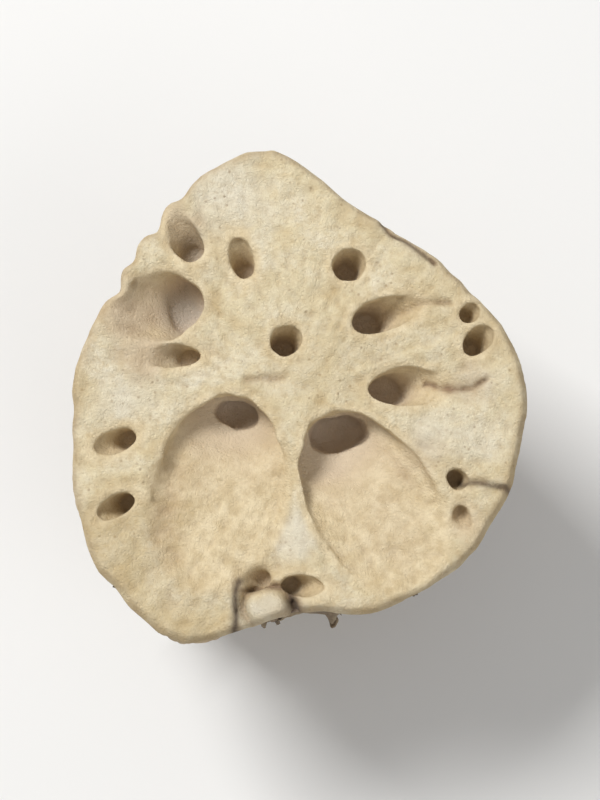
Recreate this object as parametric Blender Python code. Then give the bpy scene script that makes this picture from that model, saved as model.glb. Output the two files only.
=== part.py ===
"""Dried lotus root node: the knot between two swollen lengths of a lotus rhizome, cut off on both sides.

It stands on its lower cut, +Z along the rhizome, with the wide upper cut facing up.
The origin is on the ground under the middle of its bounding box. Metres; shapes are given in millimetres.
"""

import math
import random

import bmesh
import bpy
from mathutils import Vector

MM = 0.001

# Driving dimensions, mm
HEIGHT = 23.4  # ground to the middle of the upper cut
RING_HEIGHT = 9.6  # ground to the crest of the node ring
RING_HALF = 2.5  # how far the ring's lumps reach above and below its crest
AROUND = 60  # points round the body

# Rim of the upper cut seen from above: bearing from +X in degrees, distance from the middle
RIM = (
    (0, 14.4), (22, 13.2), (42, 12.2), (58, 11.9), (68, 12.15), (78, 12.9), (88, 14.2), (98, 15.8),
    (110, 15.4), (124, 14.7), (136, 14.0), (152, 13.7), (180, 14.2), (205, 15.4), (222, 16.9),
    (236, 17.5), (246, 17.2), (256, 15.5), (266, 14.2), (273, 13.9), (286, 14.6), (310, 15.0),
    (335, 14.6),
)
RIM_MEAN = 14.2

# The body from the ground up: height, mean radius, share of the rim's outline that shows,
# middle of the section in x and y, and how far it tips (rise per mm) along x and y
SECTIONS = (
    (0.0, 10.9, 0.40, (-0.9, -0.9), (0.00, 0.00)),
    (0.6, 11.4, 0.40, (-0.9, -0.9), (0.00, 0.00)),
    (2.8, 11.2, 0.42, (-0.8, -0.8), (0.02, 0.01)),
    (5.0, 10.5, 0.45, (-0.7, -0.8), (0.05, 0.03)),
    (6.8, 10.7, 0.50, (-0.6, -0.8), (0.08, 0.05)),
    (8.0, 12.0, 0.55, (-0.6, -0.8), (0.09, 0.06)),
    (RING_HEIGHT, 12.7, 0.58, (-0.6, -0.8), (0.10, 0.06)),
    (11.2, 12.1, 0.60, (-0.6, -0.8), (0.10, 0.06)),
    (12.5, 11.1, 0.66, (-0.5, -0.7), (0.09, 0.05)),
    (14.0, 11.6, 0.75, (-0.4, -0.5), (0.06, 0.04)),
    (16.4, 12.9, 0.85, (-0.3, -0.3), (0.03, 0.03)),
    (19.0, 13.8, 0.94, (-0.1, -0.1), (0.01, 0.02)),
    (21.6, 14.25, 1.00, (0.0, 0.0), (0.01, 0.02)),
    (22.8, 14.2, 1.00, (0.0, 0.0), (0.01, 0.02)),
    (HEIGHT, 13.8, 1.00, (0.0, 0.0), (0.01, 0.02)),
)
LUMPS = ((7, 0.16, 0.4), (11, 0.12, 1.9))  # waves round the node ring: count, swell in mm, phase
FURROWS = ((9, 0.10, 0.0), (16, 0.07, 2.2))  # the same for the shrunken skin above and below it

# Air channels open in the upper cut. A channel narrows from its mouth to an oval throat, which lies
# under the end of the mouth nearer the middle of the root.
# x, y, half-length, half-width, bearing of its outer end in degrees, depth, half-length and half-width
# of the throat, and lean: 1 makes the wall on the right upright (seen looking outwards) and the one
# opposite slope twice as gently
UPPER_CHANNELS = (
    (-4.9, -6.3, 5.6, 3.6, 260, 1.6, 1.50, 2.20, 0.2),  # wide scoop, left of the partition
    (4.6, -7.0, 5.6, 3.5, 300, 1.8, 1.60, 2.20, 0.3),  # wide scoop, right of it
    (6.7, 0.2, 2.0, 0.95, 3, 2.8, 0.95, 0.65, 0.0),
    (5.4, 4.8, 1.9, 0.82, 17, 2.8, 0.85, 0.58, 0.0),
    (-8.9, 5.3, 2.6, 1.90, 190, 2.5, 0.95, 1.35, 0.0),
    (-7.3, 9.7, 1.5, 0.80, 125, 2.0, 0.55, 0.60, 0.0),
    (-8.0, 2.2, 1.6, 0.52, 180, 1.7, 0.55, 0.38, 0.0),
    (-3.6, 8.4, 1.1, 0.52, 105, 2.1, 0.50, 0.38, 0.0),
    (3.2, 8.0, 0.85, 0.72, 45, 2.5, 0.60, 0.54, 0.0),
    (-0.8, 3.1, 0.80, 0.68, 45, 2.7, 0.58, 0.54, 0.0),  # the small one in the middle
)
# Where the two scoops go on down, at their inner ends
SCOOP_THROATS = (
    (-3.95, -1.50, 0.85, 1.40, 262, 3.3, 0.60, 1.00, 0.0),
    (2.60, -2.90, 1.25, 1.90, 280, 3.9, 0.85, 1.35, 0.0),
)
# Fine channels just inside the skin, in the same order of values
RIM_CHANNELS = (
    (11.3, 3.2, 0.90, 0.60, 40, 2.0, 0.50, 0.42, 0.0),
    (10.8, 4.9, 0.50, 0.40, 30, 1.0, 0.30, 0.28, 0.0),
    (-11.5, -3.2, 1.20, 0.52, 202, 2.0, 0.45, 0.38, 0.0),
    (-11.4, -7.3, 1.10, 0.48, 207, 1.9, 0.42, 0.36, 0.0),
    (-2.6, -11.8, 0.80, 0.48, 205, 1.8, 0.38, 0.34, 0.0),
    (0.3, -12.2, 1.15, 0.45, 352, 1.8, 0.40, 0.33, 0.0),
    (9.9, -5.6, 0.50, 0.40, 330, 1.5, 0.34, 0.30, 0.0),
    (10.2, -8.0, 0.60, 0.40, 300, 0.7, 0.32, 0.28, 0.0),
)
# Air channels in the lower cut: one in the middle and a ring of larger ones round it
LOWER_COUNT = 7
LOWER_CIRCLE = 5.5  # distance of the ring's channels from the middle
LOWER_SIZE = (1.75, 1.20)  # half-length and half-width of their mouths
LOWER_MIDDLE_SIZE = (0.80, 0.70)
LOWER_DEPTH = 4.2
LOWER_THROAT = (0.5, 0.5)  # half-length and half-width of their throats
# How unevenly they grew: turn in degrees either way, least and greatest share of distance and of size
LOWER_TURN = 6
LOWER_SPREAD = (0.93, 1.08)
LOWER_SIZES = (0.8, 1.1)

FLARE = 2.0  # over 1: a mouth shortens fast near the cut, so its floor slopes gently down to the throat
STEEPNESS = 0.8  # under 1: the long walls of a channel start steep
PAST_CUT = 1.5  # how far a channel cutter stands out of the body, mm
# Points round a channel's wall and levels down it, for a wide channel, a fine one and one in the lower cut
WIDE_DETAIL = (18, 7)
FINE_DETAIL = (10, 3)
LOWER_DETAIL = (12, 4)

ROOTLETS = 17  # stubs of broken rootlets on the node ring
ROOTLET_ROOT = 0.62  # radius where it leaves the ring, mm
ROOTLET_TIP = 0.42
ROOTLET_SIDES = 7
ROOTLET_SUNK = 1.2  # how far its foot lies inside the ring
ROOTLET_REACH = (0.3, 1.1)  # shortest and longest stub outside the ring
ROOTLET_ROW = 0.75  # half the height between the two rows the stubs stand in
ROOTLET_STRAY = 0.2  # how far a stub strays from its row
ROOTLET_DROOP = (-0.35, 0.15)  # lowest and highest rise of a stub per mm
SCAR_BEARING = 322  # the side that the leaf stalk grew on, degrees
SCAR_RADII = (2.7, 1.9)  # half-width and half-height of the stalk's scar
SCAR_RISE = 0.12  # how much it faces upwards
SCAR_SIDES = 18
# The scar along its own axis: distance out of the ring's crest, share of SCAR_RADII
SCAR_STATIONS = ((-3.0, 1.5), (-1.2, 1.45), (-0.3, 1.2), (0.15, 0.95), (0.2, 0.8), (-0.15, 0.65))
SHARP_ANGLE = 35  # edges sharper than this many degrees are shaded sharp
SEED = 7


def clear_scene():
    for obj in list(bpy.data.objects):
        bpy.data.objects.remove(obj)


def rim_radius(bearing):
    """Distance from the middle to the rim at this bearing, on a smooth closed curve through RIM."""
    bearing %= 360
    count = len(RIM)
    before = max(i for i in range(count) if RIM[i][0] <= bearing)
    points = []
    for step in (-1, 0, 1, 2):
        turns, index = divmod(before + step, count)
        points.append((RIM[index][0] + 360 * turns, RIM[index][1]))
    (a0, r0), (a1, r1), (a2, r2), (a3, r3) = points
    t = (bearing - a1) / (a2 - a1)
    slope_in = (r2 - r0) / (a2 - a0) * (a2 - a1)
    slope_out = (r3 - r1) / (a3 - a1) * (a2 - a1)
    return (
        r1 * (2 * t**3 - 3 * t**2 + 1)
        + slope_in * (t**3 - 2 * t**2 + t)
        + r2 * (3 * t**2 - 2 * t**3)
        + slope_out * (t**3 - t**2)
    )


def waves(table, bearing):
    return sum(swell * math.sin(count * math.radians(bearing) + phase) for count, swell, phase in table)


def body_point(section, bearing):
    """Where the skin is at this bearing on one of SECTIONS, mm."""
    height, mean, share, (mid_x, mid_y), (tip_x, tip_y) = section
    radius = mean * (1 + share * (rim_radius(bearing) / RIM_MEAN - 1))
    on_ring = max(0.0, 1 - abs(height - RING_HEIGHT) / RING_HALF)
    radius += on_ring * waves(LUMPS, bearing) + (1 - on_ring) * waves(FURROWS, bearing)
    x = mid_x + radius * math.cos(math.radians(bearing))
    y = mid_y + radius * math.sin(math.radians(bearing))
    return Vector((x, y, height + tip_x * x + tip_y * y))


def loft(bm, rings):
    """Skins a closed tube through rings of points in mm, with flat ends."""
    made = [[bm.verts.new(point * MM) for point in ring] for ring in rings]
    for lower, upper in zip(made, made[1:]):
        for i in range(len(lower)):
            j = (i + 1) % len(lower)
            bm.faces.new((lower[i], lower[j], upper[j], upper[i]))
    bm.faces.new(reversed(made[0]))
    bm.faces.new(made[-1])


def mesh_object(name, tubes):
    """One object holding a closed tube for each list of rings."""
    bm = bmesh.new()
    for rings in tubes:
        loft(bm, rings)
    bmesh.ops.recalc_face_normals(bm, faces=bm.faces)
    mesh = bpy.data.meshes.new(name)
    bm.to_mesh(mesh)
    bm.free()
    obj = bpy.data.objects.new(name, mesh)
    bpy.context.scene.collection.objects.link(obj)
    return obj


def tool_object(name, tubes):
    """A guide for a Boolean, which isn't part of the model."""
    obj = mesh_object(name, tubes)
    obj.hide_render = True
    obj.display_type = "WIRE"
    return obj


def channel_rings(channel, cut_height, into, detail):
    """Rings of a channel cutter, from outside the cut at cut_height down to the throat.

    into is -1 for a channel that goes down from the upper cut and +1 for one that goes up."""
    x, y, half_length, half_width, bearing, depth, throat_length, throat_width, lean = channel
    along = Vector((math.cos(math.radians(bearing)), math.sin(math.radians(bearing)), 0))
    right = Vector((along.y, -along.x, 0))
    mouth = Vector((x, y, cut_height))
    points, levels = detail
    rings = []
    for level in range(-1, levels + 1):
        down = max(0, level) / levels
        length = throat_length + (half_length - throat_length) * (1 - down) ** FLARE
        width = throat_width + (half_width - throat_width) * (1 - down) ** STEEPNESS
        middle = mouth - along * (half_length - length) + right * lean * (half_width - width)
        middle.z += into * (down * depth if level >= 0 else -PAST_CUT)
        ring = []
        for i in range(points):
            turn = 2 * math.pi * i / points
            ring.append(middle + along * length * math.cos(turn) + right * width * math.sin(turn))
        rings.append(ring)
    return rings


def upper_cutters(channels, detail):
    tip_x, tip_y = SECTIONS[-1][4]
    tubes = []
    for channel in channels:
        cut_height = HEIGHT + tip_x * channel[0] + tip_y * channel[1]
        tubes.append(channel_rings(channel, cut_height, -1, detail))
    return tubes


def lower_cutters(dice):
    mid_x, mid_y = SECTIONS[0][3]
    middle_one = (mid_x, mid_y, *LOWER_MIDDLE_SIZE, 0, LOWER_DEPTH, *LOWER_THROAT, 0)
    tubes = [channel_rings(middle_one, 0.0, 1, FINE_DETAIL)]
    for k in range(LOWER_COUNT):
        bearing = 360 * k / LOWER_COUNT + dice.uniform(-LOWER_TURN, LOWER_TURN)
        distance = LOWER_CIRCLE * dice.uniform(*LOWER_SPREAD)
        x = mid_x + distance * math.cos(math.radians(bearing))
        y = mid_y + distance * math.sin(math.radians(bearing))
        share = dice.uniform(*LOWER_SIZES)
        size = [half * share for half in LOWER_SIZE]
        channel = (x, y, *size, bearing, LOWER_DEPTH * share, *LOWER_THROAT, 0)
        tubes.append(channel_rings(channel, 0.0, 1, LOWER_DETAIL))
    return tubes


def ring_crest(bearing):
    """A point on the crest of the node ring and the way straight out of it."""
    section = next(s for s in SECTIONS if s[0] == RING_HEIGHT)
    out = Vector((math.cos(math.radians(bearing)), math.sin(math.radians(bearing)), 0))
    return body_point(section, bearing), out


def peg(foot, out, stations, points):
    """Rings of a short growth that runs from foot along out.

    Each of its stations holds a distance along it and its radius across and up."""
    across = out.cross(Vector((0, 0, 1))).normalized()
    up = across.cross(out).normalized()
    rings = []
    for distance, wide, tall in stations:
        middle = foot + out * distance
        ring = []
        for i in range(points):
            turn = 2 * math.pi * i / points
            ring.append(middle + across * wide * math.cos(turn) + up * tall * math.sin(turn))
        rings.append(ring)
    return rings


def rootlet_stubs(dice):
    """Stubs all round the ring, apart from where the leaf stalk's scar is."""
    crest, out = ring_crest(SCAR_BEARING)
    half_gap = SCAR_RADII[0] * SCAR_STATIONS[0][1] + ROOTLET_ROOT
    clear = math.degrees(math.atan2(half_gap, crest.to_2d().length))
    first = SCAR_BEARING + clear
    step = (360 - 2 * clear) / (ROOTLETS - 1)
    tubes = []
    for k in range(ROOTLETS):
        bearing = first + step * k
        crest, out = ring_crest(bearing)
        crest.z += ROOTLET_ROW * (-1) ** k + dice.uniform(-ROOTLET_STRAY, ROOTLET_STRAY)
        out = (out + Vector((0, 0, dice.uniform(*ROOTLET_DROOP)))).normalized()
        reach = dice.uniform(*ROOTLET_REACH)
        stations = ((-ROOTLET_SUNK, *(ROOTLET_ROOT,) * 2), (reach, *(ROOTLET_TIP,) * 2))
        tubes.append(peg(crest, out, stations, ROOTLET_SIDES))
    return tubes


def stalk_scar():
    crest, out = ring_crest(SCAR_BEARING)
    out = (out + Vector((0, 0, SCAR_RISE))).normalized()
    wide, tall = SCAR_RADII
    stations = [(distance, wide * share, tall * share) for distance, share in SCAR_STATIONS]
    return [peg(crest, out, stations, SCAR_SIDES)]


def add_boolean(body, tool, operation):
    modifier = body.modifiers.new(tool.name, "BOOLEAN")
    modifier.operation = operation
    modifier.solver = "EXACT"
    modifier.object = tool


def centre_on_ground(objects):
    """Moves everything so that the body's box is centred over the origin, from the body's own mesh."""
    body = objects[0]
    low = Vector(min(v.co[i] for v in body.data.vertices) for i in range(3))
    high = Vector(max(v.co[i] for v in body.data.vertices) for i in range(3))
    shift = Vector((-(low.x + high.x) / 2, -(low.y + high.y) / 2, 0))
    for obj in objects:
        for vertex in obj.data.vertices:
            vertex.co += shift


def dried_rhizome():
    material = bpy.data.materials.new("dried_rhizome")
    material.use_nodes = True
    shader = material.node_tree.nodes["Principled BSDF"]
    shader.inputs["Base Color"].default_value = (0.69, 0.58, 0.39, 1)
    shader.inputs["Roughness"].default_value = 0.9
    shader.inputs["Metallic"].default_value = 0.0
    return material


def main():
    clear_scene()
    dice = random.Random(SEED)
    bearings = [360 * i / AROUND for i in range(AROUND)]
    rings = [[body_point(section, bearing) for bearing in bearings] for section in SECTIONS]
    body = mesh_object("lotus_root_node", [rings])
    growths = tool_object("rootlet_guides", rootlet_stubs(dice))
    scar = tool_object("stalk_scar_guide", stalk_scar())
    upper = upper_cutters(UPPER_CHANNELS, WIDE_DETAIL) + upper_cutters(RIM_CHANNELS, FINE_DETAIL)
    channels = tool_object("channel_guides", upper + lower_cutters(dice))
    throats = tool_object("throat_guides", upper_cutters(SCOOP_THROATS, WIDE_DETAIL))
    centre_on_ground([body, growths, scar, channels, throats])
    add_boolean(body, growths, "UNION")
    add_boolean(body, scar, "UNION")
    add_boolean(body, channels, "DIFFERENCE")
    add_boolean(body, throats, "DIFFERENCE")
    body.data.materials.append(dried_rhizome())
    body.data.shade_smooth()
    body.data.set_sharp_from_angle(angle=math.radians(SHARP_ANGLE))


main()
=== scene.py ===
import itertools
import math
import random

import bmesh
import bpy
import numpy as np
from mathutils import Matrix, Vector
from mathutils.bvhtree import BVHTree


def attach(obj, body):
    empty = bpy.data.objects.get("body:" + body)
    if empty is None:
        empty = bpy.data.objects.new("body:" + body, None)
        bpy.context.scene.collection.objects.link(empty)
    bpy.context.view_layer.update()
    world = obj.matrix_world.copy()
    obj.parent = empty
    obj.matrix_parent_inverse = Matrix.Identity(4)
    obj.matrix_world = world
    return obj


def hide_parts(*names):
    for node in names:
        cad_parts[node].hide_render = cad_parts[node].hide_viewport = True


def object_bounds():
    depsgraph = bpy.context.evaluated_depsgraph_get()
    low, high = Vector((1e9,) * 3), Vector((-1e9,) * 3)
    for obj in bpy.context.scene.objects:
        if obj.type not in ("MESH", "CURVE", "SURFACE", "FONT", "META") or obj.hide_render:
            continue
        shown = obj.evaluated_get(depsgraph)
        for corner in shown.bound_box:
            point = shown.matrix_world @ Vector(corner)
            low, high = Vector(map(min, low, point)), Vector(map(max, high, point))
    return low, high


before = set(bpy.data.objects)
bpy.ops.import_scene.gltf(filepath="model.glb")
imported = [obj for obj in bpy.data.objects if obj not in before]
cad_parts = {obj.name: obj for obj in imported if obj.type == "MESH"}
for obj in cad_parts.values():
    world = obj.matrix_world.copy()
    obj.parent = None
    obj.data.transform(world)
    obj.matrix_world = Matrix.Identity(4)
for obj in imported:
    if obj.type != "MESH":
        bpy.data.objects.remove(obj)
cadLow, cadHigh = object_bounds()
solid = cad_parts["lotus_root_node"]
mm = 0.001


def linkObject(name, mesh):
    made = bpy.data.objects.new(name, mesh)
    bpy.context.scene.collection.objects.link(made)
    return made


def bakeModifiers(piece):
    depsgraph = bpy.context.evaluated_depsgraph_get()
    baked = bpy.data.meshes.new_from_object(piece.evaluated_get(depsgraph))
    old = piece.data
    piece.modifiers.clear()
    piece.data = baked
    bpy.data.meshes.remove(old)


def readPoints(mesh):  # vertex places, in mm
    flat = np.empty(len(mesh.vertices) * 3)
    mesh.vertices.foreach_get("co", flat)
    return flat.reshape(-1, 3) / mm


def writePoints(mesh, points):
    mesh.vertices.foreach_set("co", (points * mm).ravel())
    mesh.update()


def readNormals(mesh):
    flat = np.empty(len(mesh.vertices) * 3)
    mesh.vertices.foreach_get("normal", flat)
    return flat.reshape(-1, 3)


def storeMask(mesh, name, values):
    layer = mesh.attributes.get(name) or mesh.attributes.new(name, "FLOAT", "POINT")
    layer.data.foreach_set("value", np.clip(values, 0, 1).astype(np.float32))


def readMask(mesh, name):
    values = np.empty(len(mesh.vertices), np.float32)
    mesh.attributes[name].data.foreach_get("value", values)
    return values.astype(float)


def fade(low, high, values):  # 0 below low, 1 above high, smooth between; works downwards too
    t = np.clip((values - low) / (high - low), 0, 1)
    return t * t * (3 - 2 * t)


lattice = np.random.default_rng(41).uniform(-1, 1, (64, 64, 64))


def waves(points, size):  # soft random swells about size across, -1 to 1
    place = points / size + 17.3
    cell = np.floor(place).astype(int)
    t = place - cell
    t = t * t * t * (t * (t * 6 - 15) + 10)
    total = np.zeros(len(points))
    for corner in itertools.product((0, 1), repeat=3):
        share = np.prod(np.where(corner, t, 1 - t), axis=1)
        x, y, z = ((cell + corner) % 64).T
        total += share * lattice[x, y, z]
    return total


def octaves(points, size, count=3):
    return sum(waves(points * 2**k + 5.7 * k, size) / 2**k for k in range(count)) / 1.6


def pebbles(points, size, seed):  # 1 on top of each grain, 0 in the gaps between grains
    jitter = np.random.default_rng(seed).uniform(0.1, 0.9, (32, 32, 32, 3))
    place = points / size + 9.1
    cell = np.floor(place).astype(int)
    first = np.full(len(points), 9.0)
    second = np.full(len(points), 9.0)
    for step in itertools.product((-1, 0, 1), repeat=3):
        near = cell + step
        x, y, z = (near % 32).T
        gap = np.linalg.norm(near + jitter[x, y, z] - place, axis=1)
        second = np.minimum(second, np.maximum(first, gap))
        first = np.minimum(first, gap)
    return np.clip((second - first) * 1.6, 0, 1)


def loftRings(name, tubes):  # closed tubes, each a list of rings of points in mm, all with the same count
    verts = []
    faces = []
    for rings in tubes:
        start = len(verts)
        around = len(rings[0])
        verts += [tuple(mm * value for value in point) for ring in rings for point in ring]
        for level in range(len(rings) - 1):
            for i in range(around):
                a = start + level * around + i
                b = start + level * around + (i + 1) % around
                faces.append((a, b, b + around, a + around))
        last = start + (len(rings) - 1) * around
        faces.append(tuple(range(start, start + around)))
        faces.append(tuple(range(last, last + around)))
    mesh = bpy.data.meshes.new(name)
    mesh.from_pydata(verts, [], faces)
    shell = bmesh.new()
    shell.from_mesh(mesh)
    bmesh.ops.recalc_face_normals(shell, faces=shell.faces)
    shell.to_mesh(mesh)
    shell.free()
    return linkObject(name, mesh)


# Air channels of the upper cut, mm: x and y of a mouth's middle, half length, half width, bearing of
# its outer end, depth, half length and half width of its throat, and how upright its right wall is
upperChannels = {
    "leftScoop": (-4.99, -6.14, 5.6, 3.6, 260, 1.6, 1.50, 2.20, 0.2),
    "rightScoop": (4.51, -6.84, 5.6, 3.5, 300, 1.8, 1.60, 2.20, 0.3),
    "leftThroat": (-4.04, -1.34, 0.85, 1.40, 262, 3.3, 0.60, 1.00, 0.0),
    "rightThroat": (2.51, -2.74, 1.25, 1.90, 280, 3.9, 0.85, 1.35, 0.0),
    "longSlot": (6.61, 0.36, 2.0, 0.95, 3, 2.8, 0.95, 0.65, 0.0),
    "shoulderSlot": (5.31, 4.96, 1.9, 0.82, 17, 2.8, 0.85, 0.58, 0.0),
    "pocket": (-8.99, 5.46, 2.6, 1.90, 190, 2.5, 0.95, 1.35, 0.0),
    "crownSlot": (-7.39, 9.86, 1.5, 0.80, 125, 2.0, 0.55, 0.60, 0.0),
    "sideSlit": (-8.09, 2.36, 1.6, 0.52, 180, 1.7, 0.55, 0.38, 0.0),
    "topSlot": (-3.69, 8.56, 1.1, 0.52, 105, 2.1, 0.50, 0.38, 0.0),
    "roundHole": (3.11, 8.16, 0.85, 0.72, 45, 2.5, 0.60, 0.54, 0.0),
    "heart": (-0.89, 3.26, 0.80, 0.68, 45, 2.7, 0.58, 0.54, 0.0),
    "rimTwin": (11.21, 3.36, 0.90, 0.60, 40, 2.0, 0.50, 0.42, 0.0),
    "rimSpeck": (10.71, 5.06, 0.50, 0.40, 30, 1.0, 0.30, 0.28, 0.0),
    "leftEye": (-11.59, -3.04, 1.20, 0.52, 202, 2.0, 0.45, 0.38, 0.0),
    "leftEyeLow": (-11.49, -7.14, 1.10, 0.48, 207, 1.9, 0.42, 0.36, 0.0),
    "notchLeft": (-2.69, -11.64, 0.80, 0.48, 205, 1.8, 0.38, 0.34, 0.0),
    "notchRight": (0.21, -12.04, 1.15, 0.45, 352, 1.8, 0.40, 0.33, 0.0),
    "crackHole": (9.81, -5.44, 0.50, 0.40, 330, 1.5, 0.34, 0.30, 0.0),
    "shallowPit": (10.11, -7.84, 0.60, 0.40, 300, 0.7, 0.32, 0.28, 0.0),
}

# Open cracks at the rim, mm: x, y and half width along each, then its depth
cracks = {
    "notchCrack": (
        ((-3.80, -12.0, 0.16), (-3.95, -13.3, 0.24), (-3.80, -14.7, 0.30), (-4.00, -17.0, 0.50)), 2.8,
    ),
    "knobGap": (((-0.55, -12.6, 0.20), (-0.35, -13.6, 0.42), (0.00, -15.6, 0.80)), 2.6),
    "rimCrack": (((10.1, -5.5, 0.20), (11.4, -5.65, 0.20), (12.5, -6.0, 0.22), (14.8, -6.2, 0.40)), 1.9),
}

carving = {
    "margin": 0.12,  # how far the carved walls stand outside the solid's flat facets
    "undercut": 0.35,  # how far a throat runs in under the inner end of its mouth
    "deeper": 1.03,  # share of the stated depth
    "flare": 2.0,  # over 1: a mouth shortens fast near the cut, so its floor slopes gently
    "steepness": 0.8,  # under 1: the long walls start steep
    "bottom": ((0.85, 0.16), (0.60, 0.36), (0.30, 0.50)),  # rounded end: share of the throat's size, drop
    "wobble": 0.32,  # how unround the mouths are, mm for a mouth 2 mm wide
    "wobbleSize": 0.75,
    "around": 44,
    "levels": 16,
    "pastCut": 1,  # how far the cutters stand out over the cut
    "crackStart": 0.35,  # share of a crack's depth at its inner end
    "wallBand": (0.45, 0.12),  # a point nearer a carved wall than this belongs to it, mm
    "edgeBand": (0.75, 0.10),  # the same for the stained edge of a mouth
    "edgeDepth": (2.2, 0.6),
    "wornDepth": 3,
    # mouths whose edges fade into the cut: x, y, radius
    "wornEdges": (
        (-7.0, -2.6, 2.2), (-1.6, -4.8, 1.9), (-1.5, -7.6, 2.4), (-1.9, -10.2, 2.0), (7.6, -9.0, 3.2),
        (5.6, -12.2, 2.6), (-5.2, -11.3, 2.4), (-8.6, -8.0, 1.6), (-8.0, -10.2, 2.0), (-8.5, -5.4, 1.4),
        (-11.3, 5.0, 2.4), (-9.0, 7.4, 1.7), (-9.4, 3.4, 1.6), (-9.9, 2.4, 1.2), (-8.4, 10.9, 1.6),
        (8.8, 0.4, 1.2), (7.2, 5.4, 1.1),
    ),
}


def channelSection(mouth, share):  # half length, half width, how far the middle has moved inwards and right
    halfLength, halfWidth = mouth[2:4]
    throatLength, throatWidth, lean = mouth[6:]
    length = throatLength + (halfLength - throatLength) * (1 - share) ** carving["flare"]
    width = throatWidth + (halfWidth - throatWidth) * (1 - share) ** carving["steepness"]
    inwards = halfLength - length + carving["undercut"] * throatLength * share**1.5
    return length, width, inwards, lean * (halfWidth - width)


def upperCutHeight(x, y):  # the plane of the upper cut, mm
    return cutPlane[0] + cutPlane[1] * x + cutPlane[2] * y


def fitUpperCut():
    flats = [p for p in solid.data.polygons if p.normal.z > 0.98 and p.center.z > 0.9 * cadHigh.z]
    rows = np.array([(1, p.center.x / mm, p.center.y / mm) for p in flats])
    heights = np.array([p.center.z / mm for p in flats])
    return np.linalg.lstsq(rows, heights, rcond=None)[0]


def channelBottom(throat, halfWidth):  # rings that round off the end of a channel
    throat = [Vector(point) for point in throat]
    middle = sum(throat, Vector()) / len(throat)
    rings = []
    for share, drop in carving["bottom"]:
        low = Vector((0, 0, drop * min(1, halfWidth)))
        rings.append([middle + (point - middle) * share - low for point in throat])
    return rings


def channelCutter():
    tubes = []
    angles = np.linspace(0, 2 * math.pi, carving["around"], endpoint=False)
    cosines = np.cos(angles)
    sines = np.sin(angles)
    above = cadHigh.z / mm + carving["pastCut"]
    for mouth in upperChannels.values():
        x, y, _, halfWidth, bearing, depth = mouth[:6]
        turn = math.radians(bearing)
        rings = []
        for level in range(-1, carving["levels"] + 1):
            share = max(0, level) / carving["levels"]
            length, width, inwards, aside = channelSection(mouth, share)
            height = above if level < 0 else upperCutHeight(x, y) - share * depth * carving["deeper"]
            place = np.stack((cosines, sines, np.full(len(angles), share * 2)), axis=1)
            swell = 0.5 + 0.5 * octaves(place * math.sqrt(halfWidth) + 3.1 * x + y, carving["wobbleSize"])
            proud = carving["margin"] + carving["wobble"] * math.sqrt(halfWidth) * swell
            u = (length + proud) * cosines - inwards
            v = (width + proud) * sines - aside
            across = x + u * math.cos(turn) - v * math.sin(turn)
            along = y + u * math.sin(turn) + v * math.cos(turn)
            rings.append([(a, b, height) for a, b in zip(across, along)])
        tubes.append(rings + channelBottom(rings[-1], mouth[7]))
    return loftRings("channelCutter", tubes)


def crackCutter():  # wedges that open towards the rim
    tubes = []
    above = cadHigh.z / mm + carving["pastCut"]
    for path, depth in cracks.values():
        before = (path[0],) + path
        after = path[1:] + (path[-1],)
        rings = []
        for (x, y, half), (ax, ay, _), (bx, by, _) in zip(path, before, after):
            side = Vector((ay - by, bx - ax)).normalized() * half
            low = upperCutHeight(x, y) - depth * (carving["crackStart"] if x == path[0][0] else 1)
            rings.append([(x + side.x, y + side.y, above), (x - side.x, y - side.y, above), (x, y, low)])
        tubes.append(rings)
    return loftRings("crackCutter", tubes)


def channelFields(points):  # channel walls, the edges of their mouths, and the depth under the cut
    wall = np.zeros(len(points))
    mouthEdge = np.zeros(len(points))
    below = np.clip(upperCutHeight(points[:, 0], points[:, 1]) - points[:, 2], 0, None)
    for mouth in upperChannels.values():
        x, y, _, halfWidth, bearing, depth = mouth[:6]
        fullDepth = depth * carving["deeper"]
        length, width, inwards, aside = channelSection(mouth, np.clip(below / fullDepth, 0, 1))
        turn = math.radians(bearing)
        dx = points[:, 0] - x
        dy = points[:, 1] - y
        proud = carving["margin"] + 0.5 * carving["wobble"] * math.sqrt(halfWidth)
        u = dx * math.cos(turn) + dy * math.sin(turn) + inwards
        v = -dx * math.sin(turn) + dy * math.cos(turn) + aside
        reach = np.hypot(u / (length + proud), v / (width + proud))
        gap = (reach - 1) * np.minimum(length, width)
        wall = np.maximum(wall, fade(*carving["wallBand"], gap) * (below < fullDepth + 1))
        edge = fade(*carving["edgeBand"], gap) * fade(*carving["edgeDepth"], below)
        mouthEdge = np.maximum(mouthEdge, edge)
    return wall, mouthEdge, below


shape = {
    "voxel": 0.15,  # mm
    "softenAll": 3,  # rounds of smoothing on cut edges
    "softenSkin": 70,
    "softenWorn": 150,
    "triangles": 190000,
    "depthScale": 7,  # mm of depth in a channel for 1 in the depth mask
    # between which two values, mm, each region fades in
    "upperCutBand": (0.75, 0.25),
    "lowerCutBand": (0.6, 0.1),
    "lowerChannelsMiddle": (-1.0, -0.75),
    "lowerChannelsReach": (9.2, 8.8),  # the lower channels lie well inside the skin
    "lowerChannelsTop": (5.2, 4.8),
    "lowerChannelsFoot": (0.1, 0.4),
}

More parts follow.
